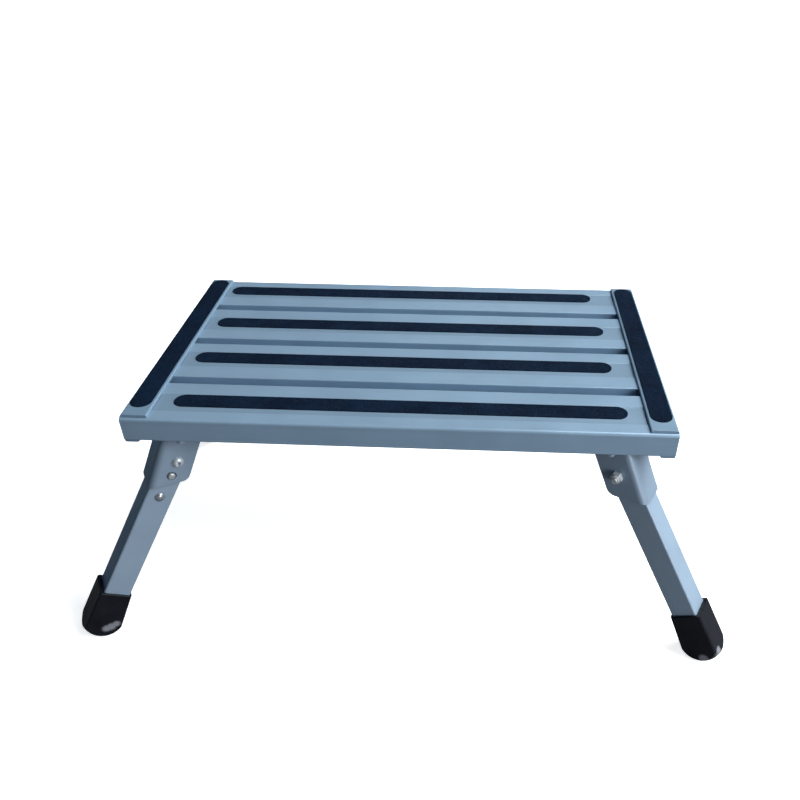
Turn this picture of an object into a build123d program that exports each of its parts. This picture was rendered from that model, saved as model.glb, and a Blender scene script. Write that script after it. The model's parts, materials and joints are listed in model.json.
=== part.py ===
from build123d import *
import os
from math import atan2, cos, degrees, radians, sin, sqrt, tan

os.makedirs("parts", exist_ok=True)

# Folding platform step. Millimetres, +Z up, floor at Z = 0, origin under the middle of the deck,
# +X along the deck to the right, -Y towards the side that a person steps up from.

# Overall sizes
tread_height = 243.7  # tread surface above the floor
deck_length = 480.0  # over the two end covers

# Deck planks, four box extrusions
outer_plank_width = 61.6  # front and rear plank
inner_plank_width = 64.4
plank_gap = 12.0  # open groove between two planks
plank_depth = 22.4
plank_side_wall = 1.6
plank_top_wall = 2.6
plank_bottom_wall = 1.8
plank_rib = 1.4
nose_radius = 2.6  # rounded upper edge of the front and rear rails
rail_edge_radius = 1.4  # lower edge of the rails
groove_edge_radius = 0.8
recess_width = 27.6  # shallow band that takes a grip strip
recess_depth = 0.6
recess_slope = 0.4  # width of the sloped sides of the recess
outer_recess_shift = 2.1  # from the middle of an outer plank, towards the edge of the deck
inner_recess_shift = 1.1  # from the middle of an inner plank, towards the middle of the deck
tongue_drop = 8.0  # groove floor below the tread
tongue_thickness = 1.8
tongue_bite = 3.0  # length of tongue held by the next plank
slot_wall = 1.4
slot_clearance = 0.15

# End covers, bent channels over the plank ends
cover_flange = 24.0
cover_top = 2.5
cover_web = 2.0
cover_lip = 13.0  # flange under the planks
cover_lip_thickness = 2.3
cover_lip_setback = 1.2  # ends of the lip behind the long edges of the deck
cover_lip_radius = 2.0  # inner edge of the lip
cover_bend = 2.4  # outer bend between flange and web
cover_edge_radius = 1.1
cover_rear_radius = 2.6  # outer rear corner of the flange
cover_setback = 3.0  # ends of the flange behind the long edges of the deck
cover_end_gap = 0.3
nose_gap = 0.2

# Grip strips
grip_width = 19.0
grip_thickness = 0.9
grip_end_gap = 15.0  # strip ends to the end covers
grip_rear_gap = 0.1  # strips lie against the rear side of their recess
grip_side_shifts = (-0.3, -4.9, -4.4, -9.9)  # laid by hand, front to rear
cover_grip_end_gap = 7.7  # strip ends to the ends of the cover
cover_grip_margin = 2.5  # strip to the outer end of the cover
cover_grip_back_shift = 4.8

# Leg pivots
pivot_inset_near = 30.2  # from the deck end, front left and rear right
pivot_inset_far = 36.2  # from the deck end, front right and rear left
pivot_inset_y = 24.5
pivot_drop = 29.3  # pivot below the underside of the planks
leg_plan_angle = 28.0  # leg direction from the length of the deck, seen from above
leg_tilt = 31.4  # open leg, from the vertical
bracket_tilt = 25.0  # outer wall of the bracket, from the vertical

# Leg tube
leg_size = 25.0
leg_wall = 1.5
leg_corner = 2.0
running_clearance = 0.05
stop_gap = 0.05  # open leg to the lower edge of the bracket wall

# Leg bracket, bent from plate
bracket_plate = 2.5
leg_side_gap = 2.8  # leg to bracket cheek
bracket_back = 14.4  # pivot to the open edge of the cheeks
bracket_below = 22.5  # pivot to the lower edge of the bracket
bracket_bend = 6.5
bracket_heel_radius = 9.0
ear_bend = 1.5
ear_reach = 12.5
ear_length = 24.0
ear_corner = 4.0
ear_margin = 0.8

# Pivot fasteners
bolt_diameter = 6.0
bolt_clearance = 0.2
bolt_head_diameter = 11.0
bolt_head_height = 3.8
bolt_tip = 1.6
bolt_socket_flats = 4.0
bolt_socket_depth = 2.4
nut_flats = 10.0
nut_height = 5.0
nut_chamfer = 0.6
nut_collar_diameter = 8.6
nut_collar_height = 1.6
nut_clearance = 0.05
sleeve_diameter = 8.0
washer_diameter = 16.0
washer_play = 0.2

# Lock spring with its pressed button, and the rivet that holds it
button_offset = 15.6  # pivot to button, along the leg
button_diameter = 7.0
button_proud = 1.8
button_round = 1.6
button_clearance = 0.3  # in the leg
button_hole_clearance = 0.8  # in the bracket
spring_width = 9.6
spring_thickness = 0.8
spring_gap = 0.05
spring_rivet_offset = 44.0
spring_rivet_diameter = 4.8
spring_rivet_head_diameter = 9.6
spring_rivet_head_height = 2.2
spring_rivet_tail_diameter = 7.0
spring_rivet_tail_height = 1.2

# Rivets under the deck
rivet_diameter = 4.0
rivet_clearance = 0.1
rivet_head_diameter = 8.0
rivet_head_height = 1.5
rivet_crown_diameter = 4.4
rivet_tail_diameter = 6.0
rivet_tail_height = 1.8
ear_rivet_margin = 6.0
cover_rivet_shift = 14.0  # from the middle rib of each plank

# Foot boots
boot_outer_wall = 4.0
boot_inner_wall = 1.2
boot_side_wall = 2.0
boot_length = 61.5  # rim to floor along the middle of the leg
boot_end = 26.0  # end of the tube to floor along the middle of the leg
boot_flare = 5.0  # angle of the inner side, which widens towards the floor
boot_upright_radius = 2.6  # edges along the leg
boot_dome_radius = 21.6  # ball-shaped lower end
boot_sole_radius = 8.4  # flat spot on the floor
boot_fit = 0.1

# Derived places
plank_names = ("front_plank", "second_plank", "third_plank", "rear_plank")
plank_widths = (outer_plank_width, inner_plank_width, inner_plank_width, outer_plank_width)
recess_shifts = (-outer_recess_shift, inner_recess_shift, -inner_recess_shift, outer_recess_shift)
deck_width = sum(plank_widths) + (len(plank_widths) - 1) * plank_gap
plank_fronts = [sum(plank_widths[:row]) + row * plank_gap for row in range(len(plank_widths))]
plank_rows = [front + width / 2 - deck_width / 2 for front, width in zip(plank_fronts, plank_widths)]
grip_back_shift = recess_width / 2 - recess_slope - grip_width / 2 - grip_rear_gap
grip_length = deck_length - 2 * (cover_flange + grip_end_gap)
cover_grip_length = deck_width - 2 * (cover_setback + cover_grip_end_gap)
underside = tread_height - plank_depth
pivot_height = underside - pivot_drop
plank_half_length = deck_length / 2 - cover_web - cover_end_gap
nose_depth = cover_setback - nose_gap
tilt = radians(leg_tilt)
lean = radians(bracket_tilt)
leg_half = leg_size / 2
cheek_inside = leg_half + leg_side_gap
cheek_outside = cheek_inside + bracket_plate
ear_outer_bend = ear_bend + bracket_plate

# The open leg rests on the lower inner edge of the bracket wall
web_inside = cos(lean) * ((leg_half + stop_gap) / cos(tilt) + bracket_below * (tan(tilt) - tan(lean)))
web_outside = web_inside + bracket_plate
cheek_top = pivot_drop - ear_outer_bend
ear_start = -bracket_back / cos(lean) - cheek_top * tan(lean) + ear_margin
ear_rivet_row = cheek_outside + ear_bend + (ear_reach - ear_bend) / 2
ear_rivet_columns = (ear_start + ear_rivet_margin, ear_start + ear_length - ear_rivet_margin)

corners = {
    "front_left": (-1, -1),
    "front_right": (1, -1),
    "rear_left": (-1, 1),
    "rear_right": (1, 1),
}


def corner_place(side_x, side_y):
    """Pivot of one leg: local X points outwards along the leg, local Y to its left, Z up."""
    plan = radians(leg_plan_angle)
    turn = degrees(atan2(side_y * sin(plan), side_x * cos(plan)))
    inset = pivot_inset_near if side_x == side_y else pivot_inset_far
    x = side_x * (deck_length / 2 - inset)
    y = side_y * (deck_width / 2 - pivot_inset_y)
    return Location((x, y, pivot_height), (0, 0, turn))


def face_between(left, right, low, high):
    """Rectangle in a sketch, from its limits."""
    return Pos((left + right) / 2, (low + high) / 2) * Rectangle(right - left, high - low)


def block_between(x0, x1, y0, y1, z0, z1):
    """Box from its limits."""
    middle = Pos((x0 + x1) / 2, (y0 + y1) / 2, (z0 + z1) / 2)
    return middle * Box(x1 - x0, y1 - y0, z1 - z0)


def round_corner(face, x, y, radius):
    """Fillet the corner of a sketch that lies nearest to a point."""
    corner = face.vertices().sort_by_distance((x, y, 0))[0]
    return fillet([corner], radius)


def turned(*points):
    """Solid of revolution about Z from a closed outline of (radius, height) points."""
    outline = Polyline(*[(radius, 0, height) for radius, height in points], close=True)
    return revolve(make_face(outline), Axis.Z)


def domed(head_radius, head_height, *rest):
    """Solid of revolution with a domed head above Z = 0 and a stepped shank below."""
    dome_radius = (head_radius**2 + head_height**2) / (2 * head_height)
    half_angle = atan2(head_height, head_radius)
    flank_height = head_height - dome_radius * (1 - cos(half_angle))
    flank = (dome_radius * sin(half_angle), 0, flank_height)
    crown = ThreePointArc((0, 0, head_height), flank, (head_radius, 0, 0))
    below = [(radius, 0, height) for radius, height in rest]
    shank = Polyline((head_radius, 0, 0), *below, (0, 0, head_height))
    return revolve(make_face([crown, shank]), Axis.Z)


def group(solids):
    """Like pieces kept as separate solids in one node."""
    return Compound(children=[piece.solid() for piece in solids])


# Where the rivets go, in the frame of the whole step
def ear_rivet_places(place):
    spots = [(u, side * ear_rivet_row) for u in ear_rivet_columns for side in (-1, 1)]
    return [(place * Pos(u, v, pivot_drop)).position for u, v in spots]


bracket_rivet_spots = {
    name: ear_rivet_places(corner_place(*sides)) for name, sides in corners.items()
}
cover_rivet_spots = [
    (side * (deck_length / 2 - cover_lip / 2), row + cover_rivet_shift, underside)
    for side in (-1, 1)
    for row in plank_rows
]


# Planks
def plank_section(width, recess_middle, front_nose, rear_nose):
    """Section of one plank, tread at height 0, with the joints it needs on each side."""
    half = width / 2
    body = face_between(-half, half, -plank_depth, 0)
    for side, nose in ((-1, front_nose), (1, rear_nose)):
        body = round_corner(body, side * half, 0, nose_radius if nose else groove_edge_radius)
        low_radius = rail_edge_radius if nose else groove_edge_radius
        body = round_corner(body, side * half, -plank_depth, low_radius)
    recess_top = recess_width / 2
    recess_floor = recess_top - recess_slope
    recess = make_face(
        Polyline(
            (-recess_top, 0),
            (-recess_floor, -recess_depth),
            (recess_floor, -recess_depth),
            (recess_top, 0),
            close=True,
        )
    )
    recess = Pos(recess_middle, 0) * recess
    inside = half - plank_side_wall
    floor = -plank_depth + plank_bottom_wall
    front_cell = face_between(-inside, -plank_rib / 2, floor, -plank_top_wall)
    rear_cell = face_between(plank_rib / 2, inside, floor, -plank_top_wall)
    slot_low = -tongue_drop - tongue_thickness - slot_clearance
    slot_high = -tongue_drop + slot_clearance
    slot_end = -half + tongue_bite + slot_clearance
    if not front_nose:
        front_cell -= face_between(-half, slot_end + slot_wall, slot_low - slot_wall, 0)
    section = body - recess - front_cell - rear_cell
    if not front_nose:
        section -= face_between(-half - slot_wall, slot_end, slot_low, slot_high)
    if not rear_nose:
        reach = half + plank_gap + tongue_bite
        section += face_between(inside, reach, -tongue_drop - tongue_thickness, -tongue_drop)
    return section


def plank(row):
    """One plank in place, with its rivet holes; outer planks keep a nose of the full length."""
    front_nose = row == 0
    rear_nose = row == len(plank_names) - 1
    middle = plank_rows[row]
    width = plank_widths[row]
    section = Plane.YZ * plank_section(width, recess_shifts[row], front_nose, rear_nose)
    if front_nose or rear_nose:
        bar = extrude(section, amount=deck_length / 2, both=True)
        rail = -1 if front_nose else 1
        near = rail * (width / 2 - nose_depth)
        far = -rail * (width + plank_gap)
        for end in (-1, 1):
            limits_x = sorted((end * plank_half_length, end * deck_length))
            limits_y = sorted((near, far))
            bar -= block_between(*limits_x, *limits_y, -2 * plank_depth, plank_depth)
    else:
        bar = extrude(section, amount=plank_half_length, both=True)
    bar = Pos(0, middle, tread_height) * bar
    hole = Cylinder(rivet_diameter / 2 + rivet_clearance, 4 * plank_bottom_wall)
    spots = list(cover_rivet_spots)
    for places in bracket_rivet_spots.values():
        spots += [(spot.X, spot.Y, spot.Z) for spot in places]
    for x, y, z in spots:
        if abs(y - middle) < width / 2:
            bar -= Pos(x, y, z) * hole
    return bar


# End covers
def end_cover(side):
    """Channel over the plank ends; flange and web stop behind the long edges of the deck."""
    low = -plank_depth - cover_lip_thickness
    shape = face_between(-cover_flange, 0, low, cover_top)
    shape = round_corner(shape, 0, cover_top, cover_bend)
    shape = round_corner(shape, -cover_flange, cover_top, cover_edge_radius)
    shape = round_corner(shape, 0, low, cover_edge_radius)
    shape -= face_between(-2 * cover_flange, -cover_web, -plank_depth, 0)
    shape -= face_between(-2 * cover_flange, -cover_lip, 2 * low, 0)
    shape = round_corner(shape, -cover_lip, low, cover_lip_radius)
    channel = extrude(Plane.XZ * shape, amount=deck_width / 2 - cover_lip_setback, both=True)
    for end in (-1, 1):
        start = deck_width / 2 - cover_setback
        limits = sorted((end * start, end * deck_width))
        channel -= block_between(-2 * cover_flange, cover_flange, *limits, -plank_depth, plank_depth)
    rear = deck_width / 2 - cover_setback - cover_rear_radius
    beyond = rear + 2 * cover_rear_radius
    waste = block_between(-cover_rear_radius, cover_web, rear, beyond, -plank_depth, plank_depth)
    waste -= Pos(-cover_rear_radius, rear, 0) * Cylinder(cover_rear_radius, 4 * plank_depth)
    channel -= waste
    if side < 0:
        channel = mirror(channel, Plane.YZ)
    channel = Pos(side * deck_length / 2, 0, tread_height) * channel
    hole = Cylinder(rivet_diameter / 2 + rivet_clearance, 4 * cover_lip_thickness)
    for x, y, z in cover_rivet_spots:
        if x * side > 0:
            channel -= Pos(x, y, z) * hole
    return channel


# Grip strips
def grip_strip(length, width):
    """Flat strip with round ends, lying on Z = 0."""
    return extrude(SlotOverall(length, width), amount=grip_thickness)


# Rivets under the deck, heads downwards on the lower of the two plates
def deck_rivet(outer_plate):
    grip = outer_plate + plank_bottom_wall
    head = rivet_head_diameter / 2
    shank = rivet_diameter / 2
    tail = rivet_tail_diameter / 2
    end = grip + rivet_tail_height
    rivet = turned(
        (0, -rivet_head_height),
        (rivet_crown_diameter / 2, -rivet_head_height),
        (head, 0),
        (shank, 0),
        (shank, grip),
        (tail, grip),
        (tail, end),
        (0, end),
    )
    return Pos(0, 0, -outer_plate) * rivet


# Leg bracket, about the pivot: X outwards, Y to the left, Z up
def leg_bracket():
    across = Plane(
        origin=(0, 0, 0),
        x_dir=(cos(lean), 0, sin(lean)),
        z_dir=(sin(lean), 0, -cos(lean)),
    )
    outer = face_between(-bracket_back, web_outside, -cheek_outside, cheek_outside)
    inner = face_between(-2 * bracket_back, web_inside, -cheek_inside, cheek_inside)
    for side in (-1, 1):
        outer = round_corner(outer, web_outside, side * cheek_outside, bracket_bend)
        inner = round_corner(inner, web_inside, side * cheek_inside, bracket_bend - bracket_plate)
    reach = 2 * (pivot_drop + bracket_below)
    channel = extrude(across * (outer - inner), amount=reach, both=True)
    back_low = -bracket_back / cos(lean) + bracket_below * tan(lean)
    back_high = -bracket_back / cos(lean) - cheek_top * tan(lean)
    outline = make_face(
        Polyline(
            (back_high, cheek_top),
            (back_low, -bracket_below),
            (reach, -bracket_below),
            (reach, cheek_top),
            close=True,
        )
    )
    outline = round_corner(outline, back_low, -bracket_below, bracket_heel_radius)
    channel &= extrude(Plane.XZ * outline, amount=2 * cheek_outside, both=True)
    for side in (-1, 1):
        channel += bracket_ear(side)
    pivot_hole = Cylinder(bolt_diameter / 2 + bolt_clearance, 4 * cheek_outside)
    channel -= Rot(90, 0, 0) * pivot_hole
    button_hole = Cylinder(button_diameter / 2 + button_hole_clearance, 2 * bracket_plate)
    spot = Pos(button_offset * sin(tilt), cheek_outside, -button_offset * cos(tilt))
    channel -= spot * Rot(90, 0, 0) * button_hole
    return channel


def bracket_ear(side):
    """Ear bent outwards from the top of one cheek, with its two rivet holes."""
    bend_middle = cheek_outside + ear_bend
    ring = Circle(ear_outer_bend) - Circle(ear_bend)
    quarter = ring & face_between(-ear_outer_bend, 0, 0, ear_outer_bend)
    bend = Pos(bend_middle, cheek_top) * quarter
    bend += face_between(
        bend_middle, cheek_outside + ear_reach, pivot_drop - bracket_plate, pivot_drop
    )
    ear = Pos(ear_start, 0, 0) * extrude(Plane.YZ * bend, amount=ear_length)
    tips = ear.edges().filter_by(Axis.Z).group_by(Axis.Y)[-1]
    ear = fillet(tips, ear_corner)
    hole = Cylinder(rivet_diameter / 2 + rivet_clearance, 4 * bracket_plate)
    for column in ear_rivet_columns:
        ear -= Pos(column, ear_rivet_row, pivot_drop) * hole
    if side < 0:
        ear = mirror(ear, Plane.XZ)
    return ear


# Pivot fasteners along Y, head on the left cheek and nut on the right
def along_y(shape):
    return Rot(-90, 0, 0) * shape


def pivot_bolt():
    shank = bolt_diameter / 2
    length = 2 * cheek_outside + nut_height + nut_collar_height + bolt_tip
    bolt = domed(
        bolt_head_diameter / 2,
        bolt_head_height,
        (shank, 0),
        (shank, -length),
        (0, -length),
    )
    socket = RegularPolygon(bolt_socket_flats / 2, 6, major_radius=False)
    bolt -= Pos(0, 0, bolt_head_height) * extrude(socket, amount=bolt_socket_depth, both=True)
    return along_y(Pos(0, 0, cheek_outside) * bolt)


def pivot_nut():
    hexagon = RegularPolygon(nut_flats / 2, 6, major_radius=False)
    collar = Circle(nut_collar_diameter / 2)
    nut = extrude(hexagon, amount=-nut_height)
    corner_radius = hexagon.vertices().sort_by_distance((0, 0, 0))[-1].center().length
    slope = nut_chamfer / (corner_radius - nut_flats / 2)
    nut &= turned(
        (0, 0),
        (nut_flats, 0),
        (nut_flats, slope * nut_flats / 2 - nut_height),
        (nut_flats / 2, -nut_height),
        (0, -nut_height),
    )
    nut += Pos(0, 0, -nut_height) * extrude(collar, amount=-nut_collar_height)
    nut -= Cylinder(bolt_diameter / 2 + nut_clearance, 4 * nut_height)
    return along_y(Pos(0, 0, -cheek_outside) * nut)


def pivot_sleeve():
    wall = Circle(sleeve_diameter / 2) - Circle(bolt_diameter / 2 + bolt_clearance)
    return along_y(extrude(wall, amount=cheek_inside, both=True))


def pivot_washers():
    ring = Circle(washer_diameter / 2) - Circle(sleeve_diameter / 2 + running_clearance)
    washer = extrude(ring, amount=leg_side_gap - washer_play)
    upper = Pos(0, 0, leg_half + washer_play) * washer
    return [along_y(upper), along_y(mirror(upper, Plane.XY))]


# Leg parts, drawn hanging straight down from the pivot and then tilted
def open_leg(shape):
    return Rot(0, -leg_tilt, 0) * shape


leg_to_floor = pivot_height / cos(tilt)


def leg_tube():
    tube_end = leg_to_floor - boot_end
    wall = RectangleRounded(leg_size, leg_size, leg_corner)
    wall -= RectangleRounded(leg_size - 2 * leg_wall, leg_size - 2 * leg_wall, leg_corner - leg_wall)
    tube = Pos(0, 0, -tube_end) * extrude(wall, amount=tube_end + leg_half)
    head = Rot(90, 0, 0) * Cylinder(leg_half, 2 * leg_size)
    head += block_between(-leg_size, leg_size, -leg_size, leg_size, -2 * tube_end, 0)
    tube &= head
    pivot_hole = Cylinder(sleeve_diameter / 2 + running_clearance, 2 * leg_size)
    tube -= Rot(90, 0, 0) * pivot_hole
    button_hole = Cylinder(button_diameter / 2 + button_clearance, leg_half)
    tube -= Pos(0, leg_half, -button_offset) * Rot(90, 0, 0) * button_hole
    rivet_hole = Cylinder(spring_rivet_diameter / 2 + rivet_clearance, leg_half)
    tube -= Pos(0, leg_half, -spring_rivet_offset) * Rot(90, 0, 0) * rivet_hole
    return tube


def foot_boot():
    """Rubber boot over the end of a leg: flared inner side, ball-shaped end, small flat sole."""
    seat = leg_half + boot_fit
    outer = seat + boot_outer_wall
    inner = -seat - boot_inner_wall
    side = seat + boot_side_wall
    rim = boot_length - leg_to_floor
    low = -leg_to_floor - boot_dome_radius
    flared = inner - (rim - low) * tan(radians(boot_flare))
    outline = make_face(
        Polyline((outer, rim), (inner, rim), (flared, low), (outer, low), close=True)
    )
    boot = extrude(Plane.XZ * outline, amount=side, both=True)
    level = rim - boot_fit
    boxes = [(edge, edge.bounding_box()) for edge in boot.edges()]
    uprights = [edge for edge, box in boxes if box.min.Z < level < box.max.Z]
    boot = fillet(uprights, boot_upright_radius)
    ball_height = sqrt(boot_dome_radius**2 - boot_sole_radius**2)
    ball_level = (ball_height - pivot_height) / cos(tilt)
    wide = 2 * boot_dome_radius
    end = Pos(0, 0, ball_level) * Sphere(boot_dome_radius)
    end += block_between(-wide, wide, -wide, wide, ball_level, 0)
    boot &= end
    above_floor = block_between(0, 2 * leg_to_floor, -wide, wide, -pivot_height, 0)
    boot &= Rot(0, leg_tilt, 0) * above_floor
    bore = leg_size + 2 * boot_fit
    socket = RectangleRounded(bore, bore, leg_corner + boot_fit)
    depth = boot_length - boot_end
    boot -= Pos(0, 0, rim - depth) * extrude(socket, amount=2 * depth)
    return boot


spring_outside = leg_half - leg_wall - spring_gap
spring_inside = spring_outside - spring_thickness


def lock_spring():
    """Leaf against the inside of the left wall, with a pressed button through leg and bracket."""
    span = spring_rivet_offset - button_offset
    middle = -(spring_rivet_offset + button_offset) / 2
    leaf = Rot(0, 0, 90) * SlotCenterToCenter(span, spring_width)
    hole = Circle(spring_rivet_diameter / 2 + rivet_clearance)
    leaf -= Pos(0, -span / 2) * hole
    spring = along_y_down(extrude(leaf, amount=spring_thickness))
    spring = Pos(0, spring_inside, middle) * spring
    height = cheek_outside + button_proud - spring_inside
    button = Cylinder(button_diameter / 2, height, align=(Align.CENTER, Align.CENTER, Align.MIN))
    button = fillet(button.edges().group_by(Axis.Z)[-1], button_round)
    spring += Pos(0, spring_inside, -button_offset) * along_y(button)
    return spring


def along_y_down(shape):
    """Turn a plate drawn in the XY plane so that its Y runs up and its thickness along +Y."""
    return Rot(0, 0, 180) * (Rot(90, 0, 0) * shape)


def spring_rivet():
    shank = spring_rivet_diameter / 2
    tail = spring_rivet_tail_diameter / 2
    grip = leg_wall + spring_gap + spring_thickness + spring_gap
    rivet = domed(
        spring_rivet_head_diameter / 2,
        spring_rivet_head_height,
        (shank, 0),
        (shank, -grip),
        (tail, -grip),
        (tail, -grip - spring_rivet_tail_height),
        (0, -grip - spring_rivet_tail_height),
    )
    return Pos(0, leg_half, -spring_rivet_offset) * along_y(rivet)


# All nodes in place
nodes = {}
for row, plank_name in enumerate(plank_names):
    nodes[plank_name] = plank(row)
    strip_name = plank_name.replace("plank", "grip_strip")
    x = grip_side_shifts[row]
    y = plank_rows[row] + recess_shifts[row] + grip_back_shift
    nodes[strip_name] = Pos(x, y, tread_height - recess_depth) * grip_strip(grip_length, grip_width)

for side, side_name in ((-1, "left"), (1, "right")):
    nodes[f"{side_name}_end_cover"] = end_cover(side)
    x = side * (deck_length / 2 - cover_grip_margin - grip_width / 2)
    strip = Rot(0, 0, 90) * grip_strip(cover_grip_length, grip_width)
    place = Pos(x, cover_grip_back_shift, tread_height + cover_top)
    nodes[f"{side_name}_cover_grip_strip"] = place * strip

cover_rivet = deck_rivet(cover_lip_thickness)
nodes["cover_rivets"] = group([Pos(*spot) * cover_rivet for spot in cover_rivet_spots])
bracket_rivet = deck_rivet(bracket_plate)
nodes["bracket_rivets"] = group(
    [Pos(*spot) * bracket_rivet for spots in bracket_rivet_spots.values() for spot in spots]
)

bracket = leg_bracket()
bolt = pivot_bolt()
nut = pivot_nut()
sleeve = pivot_sleeve()
washers = pivot_washers()
tube = open_leg(leg_tube())
boot = open_leg(foot_boot())
spring = open_leg(lock_spring())
rivet = open_leg(spring_rivet())
for corner, sides in corners.items():
    place = corner_place(*sides)
    nodes[f"leg_bracket_{corner}"] = place * bracket
    nodes[f"pivot_bolt_{corner}"] = place * bolt
    nodes[f"pivot_nut_{corner}"] = place * nut
    nodes[f"pivot_sleeve_{corner}"] = place * sleeve
    nodes[f"pivot_washers_{corner}"] = group([place * washer for washer in washers])
    nodes[f"leg_tube_{corner}"] = place * tube
    nodes[f"foot_boot_{corner}"] = place * boot
    nodes[f"lock_spring_{corner}"] = place * spring
    nodes[f"spring_rivet_{corner}"] = place * rivet

for node_name, shape in nodes.items():
    export_step(shape, f"parts/{node_name}.step")
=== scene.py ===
import json
from math import cos, pi, radians, sin

import bmesh
import bpy
from mathutils import Euler, Matrix, Vector


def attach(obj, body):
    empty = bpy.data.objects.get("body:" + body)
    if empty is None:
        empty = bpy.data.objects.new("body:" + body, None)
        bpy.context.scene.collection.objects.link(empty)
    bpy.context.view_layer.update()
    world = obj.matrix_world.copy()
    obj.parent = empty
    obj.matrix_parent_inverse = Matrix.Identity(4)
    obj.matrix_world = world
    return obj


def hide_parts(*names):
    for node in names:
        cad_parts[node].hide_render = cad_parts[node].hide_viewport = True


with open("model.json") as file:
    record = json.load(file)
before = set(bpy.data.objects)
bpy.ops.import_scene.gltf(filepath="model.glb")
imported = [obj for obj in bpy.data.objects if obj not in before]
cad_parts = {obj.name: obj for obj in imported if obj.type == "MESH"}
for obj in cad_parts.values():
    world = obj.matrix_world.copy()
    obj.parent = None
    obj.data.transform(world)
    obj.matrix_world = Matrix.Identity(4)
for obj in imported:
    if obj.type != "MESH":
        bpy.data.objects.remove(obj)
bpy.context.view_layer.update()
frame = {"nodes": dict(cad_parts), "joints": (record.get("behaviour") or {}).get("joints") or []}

# Colours, linear
plank_blue = (0.235, 0.345, 0.475, 1)
cover_blue = (0.191, 0.290, 0.404, 1)
leg_blue = (0.26, 0.345, 0.455, 1)
# Bracket paint, darkened below the legs' tone as painted shade from the deck above
bracket_blue_and_shade = (0.216, 0.290, 0.386, 1)
bare_aluminium_and_highlight = (0.56, 0.62, 0.68, 1)
# Dark tone for grime and painted shade in the inner corners
grime_and_shade_tone = (0.075, 0.09, 0.11, 1)
strip_black = (0.0031, 0.0086, 0.0222, 1)
grit_grey_and_highlight = (0.020, 0.034, 0.058, 1)
rubber_black = (0.0076, 0.0084, 0.0122, 1)
rubber_scuff_and_highlight = (0.24, 0.245, 0.285, 1)
zinc_bright = (0.56, 0.61, 0.66, 1)
zinc_dull = (0.36, 0.40, 0.44, 1)
zinc_grey = (0.090, 0.105, 0.122, 1)
spring_bright = (0.46, 0.49, 0.53, 1)
washer_white = (0.72, 0.72, 0.68, 1)
nylon_white = (0.78, 0.79, 0.77, 1)

# Share of bare or scuffed material on the worn edges, which also paints a highlight along them
plank_wear_and_highlight = 0.40
cover_wear_and_highlight = 0.15
leg_wear_and_highlight = 0.30
bracket_wear_and_highlight = 0.40
strip_wear_and_highlight = 0.3
boot_wear_and_highlight = 0.05

# Share of grime and painted shade in the inner corners, and how much duller the grime makes a
# coat
aluminium_grime_and_shade = 0.55
coat_grime_and_shade = 0.5
steel_grime_and_shade = 0.6
plastic_grime_and_shade = 0.5
grime_dulling = 0.25

# Share of the finer marks
streak_share = 0.16
streak_tone = 0.72
scratch_share = 0.25
# Painted shade on the recessed bands that take the grip strips
recess_shade_share = 0.8
recess_shade_tone = 0.80
speck_share = 0.12
glint_share = 0.4
# Painted highlights on the toes: their share, and how much rougher they make the rubber
toe_highlight_share = 0.8
toe_highlight_dulling = 0.3

# Roughness of the plated steel, at its smoothest and its roughest places
bolt_roughness = (0.40, 0.52)
sleeve_roughness = (0.34, 0.48)
spring_rivet_roughness = (0.24, 0.34)
rivet_roughness = (0.46, 0.58)
spring_roughness = (0.30, 0.44)

# Lines left by drawing, in noise cells per metre along X, Y and Z
lines_along_planks = (4.0, 900.0, 900.0)
lines_along_covers = (900.0, 4.0, 900.0)

# Recesses for the grip strips, from the middle of the deck, in metres
inner_recess = 0.0371
outer_recess = 0.1153
recess_half_width = 0.0136
recess_edge = 0.0004

# Painted highlights on the front toes, standing for glossy reflections, each with its radius, in
# metres.
# The rear boots have the same places, half a turn round.
toe_highlights = (
    ((-0.2955, -0.1818, 0.0138), 0.0052),
    ((-0.2915, -0.1797, 0.0142), 0.0056),
    ((-0.2870, -0.1773, 0.0160), 0.0048),
    ((0.2975, -0.1858, 0.0100), 0.0060),
    ((0.3092, -0.1842, 0.0200), 0.0058),
)
highlight_fade = 0.0030
highlight_spread = 0.0012
highlight_raggedness = 0.0020

# Pivot bolts, measured from the pivot towards the head, in metres
cheek_face = 0.0178
bolt_radius = 0.0030
bolt_head_radius = 0.0055
bolt_head_height = 0.0038
bolt_rim_radius = 0.0028
dome_steps = 8
socket_flats = 0.0040
socket_depth = 0.0024
socket_chamfer = 0.0002
bolt_end = -0.0260
tip_chamfer = 0.0004
bolt_steps = 48

# Thread of the bolts, in metres, and its profile as parts of the pitch
thread_start = -0.0180
thread_runout = 0.0006
thread_root = 0.00245
thread_crest = 0.00297
thread_sink = 0.0001
thread_pitch = 0.0010
thread_first = 0.75
thread_flank = 0.4
thread_land = 0.07

# Nylon rings in the nuts, in metres
collar_face = -0.0244
ring_inside = 0.00305
ring_outside = 0.0039
ring_height = 0.0004

# Pull pins in the rivet heads, in metres
pin_radius = 0.0010
pin_proud = 0.00030
pin_steps = 20
crown_depth = 1e-5

merge_distance = 1e-6
sharp_angle = radians(32)

# Floor and walls: the glow grows from the step outwards, distances in metres
floor_white = (0.90, 0.905, 0.91, 1)
floor_bounce = (0.105, 0.11, 0.12, 1)
floor_half_width = 9.0
floor_mottle = 0.985
floor_glow = 0.85
far_glow = 1.25
glow_start = 0.7
glow_end = 2.6
wall_white = (1.0, 1.0, 1.0, 1)
fill_blue = (0.42, 0.72, 1.0, 1)
fill_strength = 0.04

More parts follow.
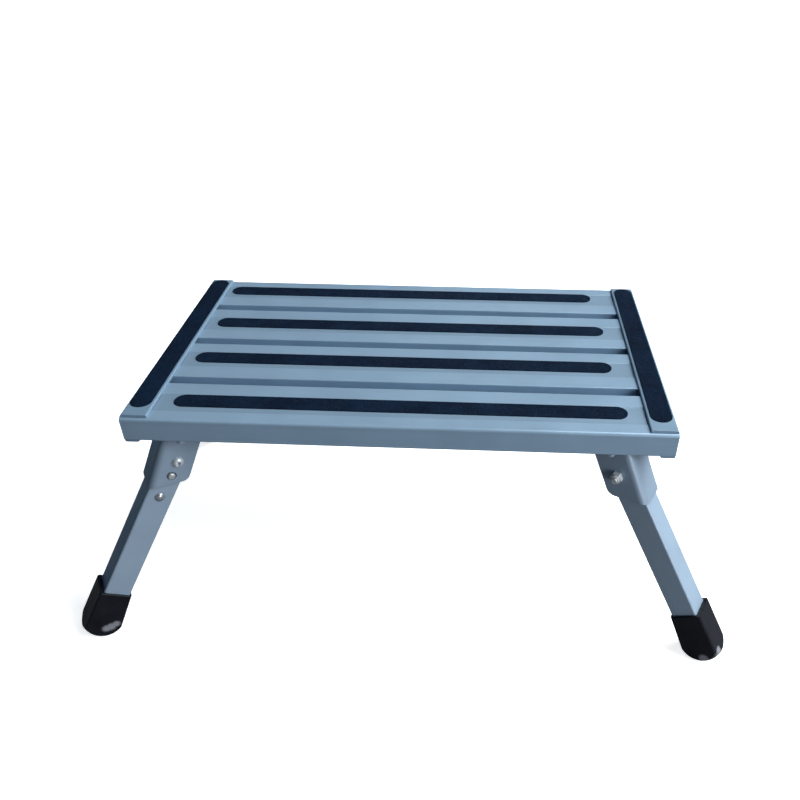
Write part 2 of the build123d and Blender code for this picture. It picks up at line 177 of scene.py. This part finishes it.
# Lamps round the step: direction, distance and size in metres, power in watts, colour
lamp_target = Vector((0, 0, 0.12))
day_white = (0.95, 0.985, 0.97)
lamps = (
    ("side_light", (0.78, -0.36, 0.52), 3.5, 2.0, 112.0, day_white),
    ("top_light", (0.50, 0.20, 0.84), 3.0, 1.9, 110.0, day_white),
    ("back_light", (0.05, 0.99, 0.04), 3.0, 1.0, 19.0, (0.80, 0.91, 1.0)),
    ("left_light", (-0.86, 0.50, 0.06), 3.0, 1.0, 11.0, (0.36, 0.70, 1.0)),
    ("front_light", (0.56, -0.82, 0.12), 2.6, 0.7, 22.5, (0.97, 0.96, 0.965)),
)

# Camera, as in the photograph
camera_place = Vector((0.0681, -0.6830, 0.6163))
camera_turn = Euler((radians(53.082), radians(-0.112), radians(2.854)), "XYZ")
camera_lens = 34.76
camera_shift = (-0.0557, 0.0747)
camera_near = 0.01


# Node helpers
def add_node(tree, kind, inputs=None, **settings):
    node = tree.nodes.new(kind)
    for name, value in settings.items():
        setattr(node, name, value)
    for name, value in (inputs or {}).items():
        connect(tree, value, node.inputs[name])
    return node


def connect(tree, value, socket):
    if isinstance(value, bpy.types.NodeSocket):
        tree.links.new(value, socket)
    else:
        socket.default_value = value


def math_of(tree, operation, first, second=0.0):
    node = add_node(tree, "ShaderNodeMath", operation=operation)
    connect(tree, first, node.inputs[0])
    connect(tree, second, node.inputs[1])
    return node.outputs[0]


def vector_math(tree, operation, *vectors):
    node = add_node(tree, "ShaderNodeVectorMath", operation=operation)
    for vector, socket in zip(vectors, node.inputs):
        connect(tree, vector, socket)
    return node.outputs


def ramp(tree, value, low, high, to_low=0.0, to_high=1.0):
    inputs = {
        "Value": value, "From Min": low, "From Max": high, "To Min": to_low, "To Max": to_high,
    }
    return add_node(tree, "ShaderNodeMapRange", inputs).outputs["Result"]


def mixed_colour(tree, share, first, second):
    node = add_node(tree, "ShaderNodeMix", data_type="RGBA")
    connect(tree, share, node.inputs[0])
    connect(tree, first, node.inputs[6])
    connect(tree, second, node.inputs[7])
    return node.outputs[2]


def laid_over(tree, under, over, mask, share):
    """A colour with a share of another one where the mask is one."""
    return mixed_colour(tree, math_of(tree, "MULTIPLY", mask, share), under, over)


def object_place(tree):
    return add_node(tree, "ShaderNodeTexCoord").outputs["Object"]


def noise(tree, place, scale, detail, roughness):
    inputs = {"Vector": place, "Scale": scale, "Detail": detail, "Roughness": roughness}
    return add_node(tree, "ShaderNodeTexNoise", inputs).outputs["Fac"]


def new_group(name, inputs, outputs):
    tree = bpy.data.node_groups.new(name, "ShaderNodeTree")
    for socket, kind, value in inputs:
        made = tree.interface.new_socket(socket, in_out="INPUT", socket_type=kind)
        made.default_value = value
    for socket in outputs:
        tree.interface.new_socket(socket, in_out="OUTPUT", socket_type="NodeSocketFloat")
    source = tree.nodes.new("NodeGroupInput")
    result = tree.nodes.new("NodeGroupOutput")
    return tree, source.outputs, result.inputs


def use_group(tree, group, **inputs):
    node = tree.nodes.new("ShaderNodeGroup")
    node.node_tree = group
    for name, value in inputs.items():
        connect(tree, value, node.inputs[name.replace("_", " ")])
    return node.outputs


# Shared effects
def make_worn_edges_and_highlight():
    """Patches along the edges, where the coat has rubbed off, and a painted highlight along the
    edges.
    """
    flat, edge = 0.995, 0.80
    whole, worn = 0.42, 0.66
    sizes = [("Radius", "NodeSocketFloat", 0.001), ("Patch Scale", "NodeSocketFloat", 60.0)]
    tree, given, result = new_group("worn_edges_and_highlight", sizes, ["Mask"])
    rounded = add_node(tree, "ShaderNodeBevel", {"Radius": given["Radius"]}, samples=6)
    surface = add_node(tree, "ShaderNodeNewGeometry")
    facing = vector_math(
        tree, "DOT_PRODUCT", rounded.outputs["Normal"], surface.outputs["Normal"]
    )
    edges = ramp(tree, facing["Value"], flat, edge)
    patches = noise(tree, object_place(tree), given["Patch Scale"], detail=4.0, roughness=0.65)
    patches = ramp(tree, patches, whole, worn)
    connect(tree, math_of(tree, "MULTIPLY", edges, patches), result["Mask"])
    return tree


def make_corner_grime_and_shade():
    """Patches of grime and painted shade in the inner corners."""
    wide, narrow = 0.75, 0.25
    clean, grimy = 0.25, 0.7
    sizes = [("Reach", "NodeSocketFloat", 0.008), ("Patch Scale", "NodeSocketFloat", 35.0)]
    tree, given, result = new_group("corner_grime_and_shade", sizes, ["Mask"])
    reach = {"Distance": given["Reach"]}
    openness = add_node(tree, "ShaderNodeAmbientOcclusion", reach, samples=8)
    corner = ramp(tree, openness.outputs["AO"], wide, narrow)
    patches = noise(tree, object_place(tree), given["Patch Scale"], detail=3.0, roughness=0.6)
    patches = ramp(tree, patches, clean, grimy)
    connect(tree, math_of(tree, "MULTIPLY", corner, patches), result["Mask"])
    return tree


def make_mottle():
    """Slow change between two values."""
    least, most = 0.3, 0.7
    sizes = [
        ("Scale", "NodeSocketFloat", 18.0),
        ("Low", "NodeSocketFloat", 0.0),
        ("High", "NodeSocketFloat", 1.0),
    ]
    tree, given, result = new_group("soft_mottle", sizes, ["Value"])
    broad = noise(tree, object_place(tree), given["Scale"], detail=4.0, roughness=0.6)
    connect(tree, ramp(tree, broad, least, most, given["Low"], given["High"]), result["Value"])
    return tree


def make_draw_lines():
    """Fine lines along a drawn profile, and a few bright scratches among them."""
    coarse_scale, coarse_share = 0.22, 0.6
    scratch_start, scratch_full = 0.70, 0.76
    sizes = [("Stretch", "NodeSocketVector", (5.0, 900.0, 900.0))]
    tree, given, result = new_group("draw_lines", sizes, ["Height", "Scratch"])
    place = vector_math(tree, "MULTIPLY", object_place(tree), given["Stretch"])["Vector"]
    fine = noise(tree, place, scale=1.0, detail=3.0, roughness=0.6)
    coarse = noise(tree, place, coarse_scale, detail=2.0, roughness=0.5)
    coarse = math_of(tree, "MULTIPLY", coarse, coarse_share)
    connect(tree, math_of(tree, "ADD", fine, coarse), result["Height"])
    connect(tree, ramp(tree, fine, scratch_start, scratch_full), result["Scratch"])
    return tree


def make_coat_grain():
    """Grain of a sprayed coat, and small specks in it."""
    speck_scale = 2.6
    speck_start, speck_full = 0.66, 0.74
    sizes = [("Scale", "NodeSocketFloat", 900.0)]
    tree, given, result = new_group("coat_grain", sizes, ["Height", "Speck"])
    place = object_place(tree)
    grain = noise(tree, place, given["Scale"], detail=2.0, roughness=0.5)
    finer = math_of(tree, "MULTIPLY", given["Scale"], speck_scale)
    specks = noise(tree, place, finer, detail=1.0, roughness=0.5)
    connect(tree, grain, result["Height"])
    connect(tree, ramp(tree, specks, speck_start, speck_full), result["Speck"])
    return tree


worn_edges_and_highlight = make_worn_edges_and_highlight()
corner_grime_and_shade = make_corner_grime_and_shade()
soft_mottle = make_mottle()
draw_lines = make_draw_lines()
coat_grain = make_coat_grain()


# Finishes
def new_finish(name, **sockets):
    material = bpy.data.materials.new(name)
    material.use_nodes = True
    tree = material.node_tree
    shader = tree.nodes["Principled BSDF"]
    for socket, value in sockets.items():
        shader.inputs[socket.replace("_", " ")].default_value = value
    return material, tree, shader.inputs


def bump(tree, height, strength, distance, edge_radius):
    """Small relief on a surface whose edges look slightly rounded."""
    softened = add_node(tree, "ShaderNodeBevel", {"Radius": edge_radius}, samples=4)
    inputs = {
        "Height": height, "Strength": strength, "Distance": distance,
        "Normal": softened.outputs["Normal"],
    }
    return add_node(tree, "ShaderNodeBump", inputs).outputs["Normal"]


def scaled(colour, factor):
    return tuple(part * factor for part in colour[:3]) + (1,)


def mottled(tree, colour, scale, darkest, lightest):
    tint = use_group(tree, soft_mottle, Scale=scale)["Value"]
    return mixed_colour(tree, tint, scaled(colour, darkest), scaled(colour, lightest))


def mottled_roughness(tree, scale, smoothest, roughest):
    return use_group(tree, soft_mottle, Scale=scale, Low=smoothest, High=roughest)["Value"]


def dulled(tree, roughness, mask, share):
    return math_of(tree, "ADD", roughness, math_of(tree, "MULTIPLY", mask, share))


def recess_mask(tree):
    """One on the shallow band in the top of each plank that takes a grip strip."""
    side_facing, top_facing = 0.6, 0.9
    place = add_node(tree, "ShaderNodeTexCoord").outputs
    across = add_node(tree, "ShaderNodeSeparateXYZ", {"Vector": place["Object"]}).outputs["Y"]
    upward = add_node(tree, "ShaderNodeSeparateXYZ", {"Vector": place["Normal"]}).outputs["Z"]
    from_middle = math_of(tree, "ABSOLUTE", across)
    between = math_of(tree, "SUBTRACT", from_middle, (inner_recess + outer_recess) / 2)
    from_pair = math_of(tree, "ABSOLUTE", between)
    off_band = math_of(tree, "SUBTRACT", from_pair, (outer_recess - inner_recess) / 2)
    off_band = math_of(tree, "ABSOLUTE", off_band)
    outside, inside = recess_half_width + recess_edge, recess_half_width - recess_edge
    band = ramp(tree, off_band, outside, inside)
    return math_of(tree, "MULTIPLY", band, ramp(tree, upward, side_facing, top_facing))


def drawn_aluminium(name, colour, stretch, wear_and_highlight_share, recessed=False):
    smooth_line, deep_line = 0.55, 1.05
    material, tree, shader = new_finish(name, Metallic=0.30)
    lines = use_group(tree, draw_lines, Stretch=stretch)
    wear_and_highlight = use_group(tree, worn_edges_and_highlight, Radius=0.0010, Patch_Scale=70.0)["Mask"]
    grime_and_shade = use_group(tree, corner_grime_and_shade, Reach=0.010)["Mask"]
    coat = mottled(tree, colour, scale=14.0, darkest=0.93, lightest=1.05)
    streaks = ramp(tree, lines["Height"], smooth_line, deep_line)
    coat = laid_over(tree, coat, scaled(colour, streak_tone), streaks, streak_share)
    coat = laid_over(tree, coat, bare_aluminium_and_highlight, lines["Scratch"], scratch_share)
    if recessed:
        # Painted shade: the recessed bands for the grip strips are darker
        coat = laid_over(tree, coat, scaled(colour, recess_shade_tone), recess_mask(tree), recess_shade_share)
    # Grime and painted shade in the inner corners
    coat = laid_over(tree, coat, grime_and_shade_tone, grime_and_shade, aluminium_grime_and_shade)
    # Worn edges, which also paint a highlight along the edges
    coat = laid_over(tree, coat, bare_aluminium_and_highlight, wear_and_highlight, wear_and_highlight_share)
    connect(tree, coat, shader["Base Color"])
    satin = mottled_roughness(tree, scale=30.0, smoothest=0.36, roughest=0.48)
    connect(tree, dulled(tree, satin, grime_and_shade, grime_dulling), shader["Roughness"])
    relief = bump(tree, lines["Height"], strength=0.12, distance=0.0002, edge_radius=0.0006)
    connect(tree, relief, shader["Normal"])
    return material


def coated_metal(name, colour, wear_and_highlight_share):
    material, tree, shader = new_finish(name, Metallic=0.20)
    grain = use_group(tree, coat_grain, Scale=850.0)
    wear_and_highlight = use_group(tree, worn_edges_and_highlight, Radius=0.0010, Patch_Scale=90.0)["Mask"]
    grime_and_shade = use_group(tree, corner_grime_and_shade, Reach=0.009)["Mask"]
    coat = mottled(tree, colour, scale=22.0, darkest=0.92, lightest=1.06)
    coat = laid_over(tree, coat, bare_aluminium_and_highlight, grain["Speck"], speck_share)
    # Grime and painted shade in the inner corners
    coat = laid_over(tree, coat, grime_and_shade_tone, grime_and_shade, coat_grime_and_shade)
    # Worn edges, which also paint a highlight along the edges
    coat = laid_over(tree, coat, bare_aluminium_and_highlight, wear_and_highlight, wear_and_highlight_share)
    connect(tree, coat, shader["Base Color"])
    satin = mottled_roughness(tree, scale=40.0, smoothest=0.34, roughest=0.46)
    connect(tree, dulled(tree, satin, grime_and_shade, grime_dulling), shader["Roughness"])
    relief = bump(tree, grain["Height"], strength=0.12, distance=0.0002, edge_radius=0.0006)
    connect(tree, relief, shader["Normal"])
    return material


def gritty_strip(name):
    dull_grain, bright_grain = 0.86, 0.97
    rough_grain, smooth_grain = 0.95, 0.62
    material, tree, shader = new_finish(name, Metallic=0.0, Specular_IOR_Level=0.03)
    place = object_place(tree)
    grains = add_node(tree, "ShaderNodeTexVoronoi", {"Vector": place, "Scale": 1500.0}).outputs
    split = add_node(tree, "ShaderNodeSeparateColor", {"Color": grains["Color"]})
    brightness = split.outputs[0]
    glint = ramp(tree, brightness, dull_grain, bright_grain)
    clumps = noise(tree, place, scale=420.0, detail=3.0, roughness=0.6)
    wear_and_highlight = use_group(tree, worn_edges_and_highlight, Radius=0.0008, Patch_Scale=160.0)["Mask"]
    body = mottled(tree, strip_black, scale=35.0, darkest=0.75, lightest=1.35)
    body = laid_over(tree, body, grit_grey_and_highlight, glint, glint_share)
    # Worn edges, which also paint a highlight along the edges
    body = laid_over(tree, body, grit_grey_and_highlight, wear_and_highlight, strip_wear_and_highlight)
    connect(tree, body, shader["Base Color"])
    rough = ramp(tree, brightness, 0.0, 1.0, rough_grain, smooth_grain)
    connect(tree, rough, shader["Roughness"])
    height = math_of(tree, "SUBTRACT", clumps, grains["Distance"])
    relief = bump(tree, height, strength=0.8, distance=0.0005, edge_radius=0.0004)
    connect(tree, relief, shader["Normal"])
    return material


def painted_toe_highlights(tree, place):
    """One at the painted highlights on the toes, with a ragged edge."""
    ragged = noise(tree, place, scale=420.0, detail=3.0, roughness=0.6)
    ragged = math_of(tree, "MULTIPLY", ragged, highlight_raggedness)
    mask = 0.0
    for (x, y, z), radius in toe_highlights:
        edge = radius + highlight_spread
        for middle in ((x, y, z), (-x, -y, z)):
            away = vector_math(tree, "DISTANCE", place, middle)["Value"]
            reach = math_of(tree, "ADD", away, ragged)
            spot = ramp(tree, reach, edge, edge - highlight_fade)
            mask = math_of(tree, "MAXIMUM", spot, mask)
    return mask


def moulded_rubber(name):
    material, tree, shader = new_finish(name, Metallic=0.0, Specular_IOR_Level=0.15)
    toe_highlight = painted_toe_highlights(tree, object_place(tree))
    wear_and_highlight = use_group(tree, worn_edges_and_highlight, Radius=0.0012, Patch_Scale=120.0)["Mask"]
    body = mottled(tree, rubber_black, scale=45.0, darkest=0.8, lightest=1.4)
    # Painted highlights on the toes, standing for reflections
    body = laid_over(tree, body, rubber_scuff_and_highlight, toe_highlight, toe_highlight_share)
    # Worn edges, which also paint a highlight along the edges
    body = laid_over(tree, body, rubber_scuff_and_highlight, wear_and_highlight, boot_wear_and_highlight)
    connect(tree, body, shader["Base Color"])
    gloss = mottled_roughness(tree, scale=60.0, smoothest=0.14, roughest=0.24)
    connect(tree, dulled(tree, gloss, toe_highlight, toe_highlight_dulling), shader["Roughness"])
    grain = use_group(tree, coat_grain, Scale=1200.0)
    relief = bump(tree, grain["Height"], strength=0.04, distance=0.0002, edge_radius=0.0016)
    connect(tree, relief, shader["Normal"])
    return material


def plated_steel(name, bright, dull, roughness):
    dulling = 0.5
    smoothest, roughest = roughness
    material, tree, shader = new_finish(name, Metallic=0.55)
    tint = use_group(tree, soft_mottle, Scale=140.0)["Value"]
    grime_and_shade = use_group(tree, corner_grime_and_shade, Reach=0.003, Patch_Scale=90.0)["Mask"]
    body = mixed_colour(tree, tint, bright, mixed_colour(tree, dulling, bright, dull))
    # Grime and painted shade in the inner corners
    body = laid_over(tree, body, grime_and_shade_tone, grime_and_shade, steel_grime_and_shade)
    connect(tree, body, shader["Base Color"])
    satin = mottled_roughness(tree, scale=260.0, smoothest=smoothest, roughest=roughest)
    connect(tree, satin, shader["Roughness"])
    grain = use_group(tree, coat_grain, Scale=2400.0)
    relief = bump(tree, grain["Height"], strength=0.05, distance=0.0001, edge_radius=0.0003)
    connect(tree, relief, shader["Normal"])
    return material


def natural_plastic(name, colour):
    material, tree, shader = new_finish(name, Metallic=0.0)
    grime_and_shade = use_group(tree, corner_grime_and_shade, Reach=0.003, Patch_Scale=90.0)["Mask"]
    body = mottled(tree, colour, scale=90.0, darkest=0.88, lightest=1.0)
    # Grime and painted shade in the inner corners
    body = laid_over(tree, body, grime_and_shade_tone, grime_and_shade, plastic_grime_and_shade)
    connect(tree, body, shader["Base Color"])
    satin = mottled_roughness(tree, scale=150.0, smoothest=0.35, roughest=0.5)
    connect(tree, satin, shader["Roughness"])
    grain = use_group(tree, coat_grain, Scale=1500.0)
    relief = bump(tree, grain["Height"], strength=0.08, distance=0.0001, edge_radius=0.0003)
    connect(tree, relief, shader["Normal"])
    return material


# Each finish goes on the parts whose names hold its word
finishes = {
    "plank": drawn_aluminium(
        "plank_aluminium", plank_blue, lines_along_planks, plank_wear_and_highlight, recessed=True
    ),
    "end_cover": drawn_aluminium("cover_aluminium", cover_blue, lines_along_covers, cover_wear_and_highlight),
    "leg_tube": coated_metal("leg_aluminium", leg_blue, leg_wear_and_highlight),
    "leg_bracket": coated_metal("bracket_paint", bracket_blue_and_shade, bracket_wear_and_highlight),
    "grip_strip": gritty_strip("grip_strip_black"),
    "foot_boot": moulded_rubber("boot_rubber"),
    "pivot_bolt": plated_steel("bolt_zinc", zinc_bright, zinc_dull, bolt_roughness),
    "pivot_nut": plated_steel("nut_zinc", zinc_bright, zinc_dull, bolt_roughness),
    "pivot_sleeve": plated_steel("sleeve_zinc", zinc_dull, zinc_dull, sleeve_roughness),
    "pivot_washers": natural_plastic("washer_plastic", washer_white),
    "spring_rivet": plated_steel("rivet_zinc", zinc_dull, zinc_grey, spring_rivet_roughness),
    "rivets": plated_steel("rivet_grey", zinc_grey, zinc_grey, rivet_roughness),
    "lock_spring": plated_steel("spring_steel", spring_bright, zinc_dull, spring_roughness),
}
ring_nylon = natural_plastic("ring_nylon", nylon_white)


def finish_for(node):
    return next(finish for word, finish in finishes.items() if word in node)


for node, part in frame["nodes"].items():
    part.data.materials.clear()
    part.data.materials.append(finish_for(node))


# Small hardware that the plain solids leave out
def turn_outline(shape, outline, steps):
    """Turn an outline of (radius, height) points about Z."""
    points = [shape.verts.new((radius, 0, height)) for radius, height in outline]
    lines = [shape.edges.new(pair) for pair in zip(points, points[1:])]
    bmesh.ops.spin(
        shape, geom=points + lines, axis=(0, 0, 1), angle=2 * pi, steps=steps, use_merge=True
    )


def loop_at(shape, segments, radius, height, cuts=0):
    """Open ring of edges round Z, with each edge cut into equal lengths."""
    place = Matrix.Translation((0, 0, height))
    ring = bmesh.ops.create_circle(shape, segments=segments, radius=radius, matrix=place)
    edges = list({edge for corner in ring["verts"] for edge in corner.link_edges})
    if cuts:
        parts = bmesh.ops.subdivide_edges(shape, edges=edges, cuts=cuts)["geom_split"]
        edges = [part for part in parts if isinstance(part, bmesh.types.BMEdge)]
    return edges


def finish_piece(name, shape, place, finish, body):
    """Close a shape, put it in its place, give it its finish and let it ride on a body."""
    bmesh.ops.remove_doubles(shape, verts=shape.verts, dist=merge_distance)
    bmesh.ops.recalc_face_normals(shape, faces=shape.faces)
    bmesh.ops.transform(shape, matrix=place, verts=shape.verts)
    mesh = bpy.data.meshes.new(name)
    shape.to_mesh(mesh)
    shape.free()
    mesh.shade_smooth()
    mesh.set_sharp_from_angle(angle=sharp_angle)
    mesh.materials.append(finish)
    piece = bpy.data.objects.new(name, mesh)
    bpy.context.collection.objects.link(piece)
    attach(piece, body)
    return piece


def dome_height(radius):
    """Height of the bolt's domed head above its seat, at a distance from the bolt's axis."""
    ball = (bolt_head_radius**2 + bolt_head_height**2) / (2 * bolt_head_height)
    return bolt_head_height - ball + (ball**2 - radius**2) ** 0.5


def threaded_bolt():
    """Bolt with a domed head, a hexagon socket and a thread."""
    shape = bmesh.new()
    dome = []
    for step in range(dome_steps + 1):
        part = sin(step / dome_steps * pi / 2)
        radius = bolt_rim_radius + (bolt_head_radius - bolt_rim_radius) * part
        dome.append((radius, cheek_face + dome_height(radius)))
    shank = [
        (bolt_radius, cheek_face),
        (bolt_radius, thread_start),
        (thread_root, thread_start - thread_runout),
    ]
    tip = [
        (thread_root, bolt_end + tip_chamfer),
        (thread_root - tip_chamfer, bolt_end),
        (0, bolt_end),
    ]
    turn_outline(shape, dome + shank + tip, bolt_steps)
    rim_height = cheek_face + dome_height(bolt_rim_radius)
    socket_corner = socket_flats / 2 / cos(pi / 6)
    cuts = bolt_steps // 6 - 1
    rim = loop_at(shape, bolt_steps, bolt_rim_radius, rim_height)
    mouth = loop_at(shape, 6, socket_corner + socket_chamfer, rim_height, cuts)
    throat = loop_at(shape, 6, socket_corner, rim_height - socket_chamfer, cuts)
    foot = loop_at(shape, 6, socket_corner, rim_height - socket_depth, cuts)
    for upper, lower in ((rim, mouth), (mouth, throat), (throat, foot)):
        bmesh.ops.bridge_loops(shape, edges=upper + lower)
    bmesh.ops.contextual_create(shape, geom=foot)
    cut_thread(shape)
    return shape


def cut_thread(shape):
    """Ridge of a coarse thread round the lower end of the bolt."""
    turns = int((thread_start - bolt_end) / thread_pitch) - 1
    low = bolt_end + thread_first * thread_pitch
    flank = thread_flank * thread_pitch
    land = thread_land * thread_pitch
    outline = (
        (thread_root - thread_sink, low - flank),
        (thread_crest, low - land),
        (thread_crest, low + land),
        (thread_root - thread_sink, low + flank),
    )
    points = [shape.verts.new((radius, 0, height)) for radius, height in outline]
    tooth = shape.faces.new(points)
    rise = (0, 0, thread_pitch / bolt_steps)
    bmesh.ops.spin(
        shape, geom=points + list(tooth.edges) + [tooth], axis=(0, 0, 1),
        angle=2 * pi * turns, steps=bolt_steps * turns, dvec=rise,
    )


def nylon_ring():
    shape = bmesh.new()
    inner_chamfer = ring_height / 3
    outer_chamfer = ring_height / 2
    low = collar_face - ring_height
    outline = (
        (ring_inside, collar_face),
        (ring_inside, low + inner_chamfer),
        (ring_inside + inner_chamfer, low),
        (ring_outside - outer_chamfer, low),
        (ring_outside, low + outer_chamfer),
        (ring_outside, collar_face),
        (ring_inside, collar_face),
    )
    turn_outline(shape, outline, bolt_steps)
    return shape


def rivet_heads(node):
    """Middle of the lower face of every rivet in a node."""
    copy = bmesh.new()
    copy.from_mesh(frame["nodes"][node].data)
    bmesh.ops.remove_doubles(copy, verts=copy.verts, dist=merge_distance)
    waiting = set(copy.verts)
    heads = []
    while waiting:
        rivet = [waiting.pop()]
        for point in rivet:
            beside = {edge.other_vert(point) for edge in point.link_edges} & waiting
            waiting -= beside
            rivet.extend(beside)
        low = min(point.co.z for point in rivet)
        crown = [point.co for point in rivet if point.co.z < low + crown_depth]
        heads.append(sum(crown, Vector()) / len(crown))
    copy.free()
    return sorted(heads, key=lambda head: (round(head.x, 4), round(head.y, 4)))


def pull_pins(node):
    """Broken ends of the pull pins that stay in the rivets."""
    shape = bmesh.new()
    chamfer = pin_proud / 2
    outline = (
        (0, -pin_proud),
        (pin_radius - chamfer, -pin_proud),
        (pin_radius, -chamfer),
        (pin_radius, 0),
    )
    for head in rivet_heads(node):
        pin = bmesh.new()
        turn_outline(pin, outline, pin_steps)
        bmesh.ops.transform(pin, matrix=Matrix.Translation(head), verts=pin.verts)
        single = bpy.data.meshes.new("pin")
        pin.to_mesh(single)
        pin.free()
        shape.from_mesh(single)
        bpy.data.meshes.remove(single)
    return shape


for joint in frame["joints"]:
    if joint["type"] != "hinge":
        continue
    corner = joint["name"].removeprefix("fold_")
    towards_head = Vector(joint["axis"]).to_track_quat("Z", "Y")
    pivot = Matrix.LocRotScale(Vector(joint["pos_m"]), towards_head, None)
    bolt = finish_piece(
        f"threaded_bolt_{corner}", threaded_bolt(), pivot,
        finishes["pivot_bolt"], "deck",
    )
    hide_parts(f"pivot_bolt_{corner}")
    finish_piece(
        f"nylon_ring_{corner}", nylon_ring(), pivot, ring_nylon, "deck"
    )
for rivets in ("cover_rivets", "bracket_rivets"):
    finish_piece(
        f"{rivets}_pull_pins", pull_pins(rivets), Matrix.Identity(4),
        finishes["rivets"], "deck",
    )


# Floor, lamps and camera
def pale_floor():
    """Pale paper that looks white far off, and can be looked through from below."""
    shape = bmesh.new()
    bmesh.ops.create_grid(shape, x_segments=1, y_segments=1, size=floor_half_width)
    mesh = bpy.data.meshes.new("floor")
    shape.to_mesh(mesh)
    shape.free()
    floor = bpy.data.objects.new("floor", mesh)
    bpy.context.collection.objects.link(floor)
    material, tree, shader = new_finish("floor_paper", Roughness=0.8, Emission_Color=floor_white)
    paper = mottled(tree, floor_white, scale=2.0, darkest=floor_mottle, lightest=1.0)
    seen = add_node(tree, "ShaderNodeLightPath").outputs["Is Camera Ray"]
    connect(tree, mixed_colour(tree, seen, floor_bounce, paper), shader["Base Color"])
    away = vector_math(tree, "LENGTH", object_place(tree))["Value"]
    glow = ramp(tree, away, glow_start, glow_end, floor_glow, far_glow)
    connect(tree, math_of(tree, "MULTIPLY", seen, glow), shader["Emission Strength"])
    from_below = add_node(tree, "ShaderNodeNewGeometry").outputs["Backfacing"]
    connect(tree, math_of(tree, "SUBTRACT", 1.0, from_below), shader["Alpha"])
    mesh.materials.append(material)


def studio_walls():
    """White to the camera, and a faint blue fill on the step."""
    world = bpy.data.worlds.new("studio")
    world.use_nodes = True
    tree = world.node_tree
    walls = tree.nodes["Background"].inputs
    seen = add_node(tree, "ShaderNodeLightPath").outputs["Is Camera Ray"]
    connect(tree, mixed_colour(tree, seen, fill_blue, wall_white), walls["Color"])
    connect(tree, ramp(tree, seen, 0.0, 1.0, fill_strength, 1.0), walls["Strength"])
    bpy.context.scene.world = world


def soft_lamp(name, towards, distance, size, power, colour):
    light = bpy.data.lights.new(name, "AREA")
    light.shape = "DISK"
    light.size = size
    light.energy = power
    light.color = colour
    lamp = bpy.data.objects.new(name, light)
    bpy.context.collection.objects.link(lamp)
    direction = Vector(towards).normalized()
    lamp.location = lamp_target + direction * distance
    lamp.rotation_euler = direction.to_track_quat("Z", "Y").to_euler()


def photo_camera():
    camera = bpy.data.cameras.new("camera")
    camera.lens = camera_lens
    camera.shift_x, camera.shift_y = camera_shift
    camera.clip_start = camera_near
    holder = bpy.data.objects.new("camera", camera)
    bpy.context.collection.objects.link(holder)
    holder.location = camera_place
    holder.rotation_euler = camera_turn
    bpy.context.scene.camera = holder


pale_floor()
for lamp in lamps:
    soft_lamp(*lamp)
studio_walls()
bpy.context.scene.view_settings.view_transform = "Standard"
photo_camera()
